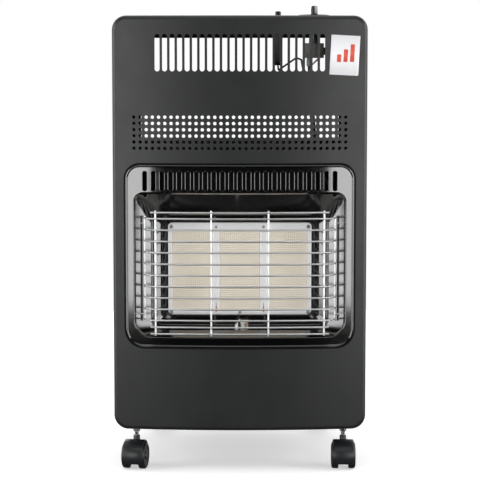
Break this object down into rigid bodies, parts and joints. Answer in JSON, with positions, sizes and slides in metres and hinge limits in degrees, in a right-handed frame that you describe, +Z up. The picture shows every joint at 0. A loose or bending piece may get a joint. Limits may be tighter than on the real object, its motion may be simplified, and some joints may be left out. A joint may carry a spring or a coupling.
{
  "type": "portable gas cabinet heater",
  "caption": "Upright gas cabinet heater on swivel casters: slotted bowed front, plaque burner behind a wire guard, top knob and igniter, lift-off rear cover.",
  "frame": {"origin": "middle of the bounding box at floor level", "axes": "+Z up, the front faces -Y, +X is to the right seen from the front"},
  "size_m": [0.41, 0.412, 0.762],
  "materials": {
    "powder_coat": "satin charcoal powder coat on sheet steel",
    "black_enamel": "gloss black vitreous enamel on pressed steel",
    "chrome": "bright chrome plate",
    "bright_steel": "bright stainless sheet",
    "zinc_steel": "zinc-plated steel",
    "plaque_ceramic": "matte cream perforated ceramic",
    "white_ceramic": "glazed white ceramic",
    "cast_aluminium": "rough die casting",
    "brass": "machined brass",
    "copper": "drawn copper tube",
    "dark_steel": "black-coated steel tube",
    "lead_rubber": "matte silicone lead",
    "black_plastic": "black moulded plastic",
    "grey_plastic": "light grey moulded plastic"
  },
  "bodies": {
    "cabinet": {"front_panel": "powder_coat", "cabinet_shell": "powder_coat", "base_tray": "powder_coat", "cover_rail_left": "powder_coat", "cover_rail_right": "powder_coat", "control_tray": "powder_coat", "burner_surround": "black_enamel", "wire_guard": "chrome", "caster_stem_front_left": "chrome", "caster_stem_front_right": "chrome", "caster_stem_rear_left": "chrome", "caster_stem_rear_right": "chrome", "burner_frame": "bright_steel", "heat_shield": "zinc_steel", "pilot_bracket": "zinc_steel", "valve_bracket": "zinc_steel", "hose_nozzle": "zinc_steel", "mixer_tube_1": "zinc_steel", "mixer_tube_2": "zinc_steel", "mixer_tube_3": "zinc_steel", "ceramic_plaque_1": "plaque_ceramic", "ceramic_plaque_2": "plaque_ceramic", "ceramic_plaque_3": "plaque_ceramic", "spark_electrode": "white_ceramic", "burner_body": "cast_aluminium", "gas_valve": "cast_aluminium", "injector_rail": "brass", "pilot_burner": "brass", "thermocouple": "copper", "thermocouple_lead": "copper", "gas_pipe_1": "dark_steel", "gas_pipe_2": "dark_steel", "gas_pipe_3": "dark_steel", "pilot_pipe": "dark_steel", "ignition_lead": "lead_rubber", "igniter_body": "black_plastic", "igniter_nut": "black_plastic"},
    "rear_cover": {"rear_cover": "powder_coat"},
    "valve_stem": {"valve_stem": "zinc_steel"},
    "control_knob": {"control_knob": "black_plastic"},
    "igniter_button": {"igniter_button": "grey_plastic"},
    "caster_front_left": {"caster_hood_front_left": "black_plastic", "caster_axle_front_left": "zinc_steel"},
    "wheel_front_left_outer": {"caster_wheel_front_left_outer": "black_plastic"},
    "wheel_front_left_inner": {"caster_wheel_front_left_inner": "black_plastic"},
    "caster_front_right": {"caster_hood_front_right": "black_plastic", "caster_axle_front_right": "zinc_steel"},
    "wheel_front_right_outer": {"caster_wheel_front_right_outer": "black_plastic"},
    "wheel_front_right_inner": {"caster_wheel_front_right_inner": "black_plastic"},
    "caster_rear_left": {"caster_hood_rear_left": "black_plastic", "caster_axle_rear_left": "zinc_steel"},
    "wheel_rear_left_outer": {"caster_wheel_rear_left_outer": "black_plastic"},
    "wheel_rear_left_inner": {"caster_wheel_rear_left_inner": "black_plastic"},
    "caster_rear_right": {"caster_hood_rear_right": "black_plastic", "caster_axle_rear_right": "zinc_steel"},
    "wheel_rear_right_outer": {"caster_wheel_rear_right_outer": "black_plastic"},
    "wheel_rear_right_inner": {"caster_wheel_rear_right_inner": "black_plastic"}
  },
  "joints": [
    {"name": "rear_cover_lift", "type": "slide", "parent": "cabinet", "child": "rear_cover", "axis": [0, 0, 1], "range_m": [0, 0.45]},
    {"name": "control_press", "type": "slide", "parent": "cabinet", "child": "valve_stem", "axis": [0, 0, -1], "range_m": [0, 0.004], "stiffness_N_per_m": 1500},
    {"name": "control_turn", "type": "hinge", "parent": "valve_stem", "child": "control_knob", "pos_m": [0.12, -0.139, 0.755], "axis": [0, 0, -1], "range_deg": [0, 240]},
    {"name": "igniter_press", "type": "slide", "parent": "cabinet", "child": "igniter_button", "axis": [0, 0, -1], "range_m": [0, 0.008], "stiffness_N_per_m": 1000},
    {"name": "caster_swivel_front_left", "type": "hinge", "parent": "cabinet", "child": "caster_front_left", "pos_m": [-0.171, -0.139, 0.05], "axis": [0, 0, 1], "continuous": true},
    {"name": "wheel_spin_front_left_outer", "type": "hinge", "parent": "caster_front_left", "child": "wheel_front_left_outer", "pos_m": [-0.17291, -0.14983, 0.02194], "axis": [0.9848, -0.1736, 0], "continuous": true},
    {"name": "wheel_spin_front_left_inner", "type": "hinge", "parent": "caster_front_left", "child": "wheel_front_left_inner", "pos_m": [-0.17291, -0.14983, 0.02194], "axis": [0.9848, -0.1736, 0], "continuous": true},
    {"name": "caster_swivel_front_right", "type": "hinge", "parent": "cabinet", "child": "caster_front_right", "pos_m": [0.171, -0.139, 0.05], "axis": [0, 0, 1], "continuous": true},
    {"name": "wheel_spin_front_right_outer", "type": "hinge", "parent": "caster_front_right", "child": "wheel_front_right_outer", "pos_m": [0.171, -0.15, 0.02194], "axis": [1, 0, 0], "continuous": true},
    {"name": "wheel_spin_front_right_inner", "type": "hinge", "parent": "caster_front_right", "child": "wheel_front_right_inner", "pos_m": [0.171, -0.15, 0.02194], "axis": [1, 0, 0], "continuous": true},
    {"name": "caster_swivel_rear_left", "type": "hinge", "parent": "cabinet", "child": "caster_rear_left", "pos_m": [-0.14, 0.145, 0.05], "axis": [0, 0, 1], "continuous": true},
    {"name": "wheel_spin_rear_left_outer", "type": "hinge", "parent": "caster_rear_left", "child": "wheel_rear_left_outer", "pos_m": [-0.13828, 0.15586, 0.02194], "axis": [-0.9877, 0.1564, 0], "continuous": true},
    {"name": "wheel_spin_rear_left_inner", "type": "hinge", "parent": "caster_rear_left", "child": "wheel_rear_left_inner", "pos_m": [-0.13828, 0.15586, 0.02194], "axis": [-0.9877, 0.1564, 0], "continuous": true},
    {"name": "caster_swivel_rear_right", "type": "hinge", "parent": "cabinet", "child": "caster_rear_right", "pos_m": [0.14, 0.145, 0.05], "axis": [0, 0, 1], "continuous": true},
    {"name": "wheel_spin_rear_right_outer", "type": "hinge", "parent": "caster_rear_right", "child": "wheel_rear_right_outer", "pos_m": [0.13885, 0.15594, 0.02194], "axis": [-0.9945, -0.1045, 0], "continuous": true},
    {"name": "wheel_spin_rear_right_inner", "type": "hinge", "parent": "caster_rear_right", "child": "wheel_rear_right_inner", "pos_m": [0.13885, 0.15594, 0.02194], "axis": [-0.9945, -0.1045, 0], "continuous": true}
  ]
}
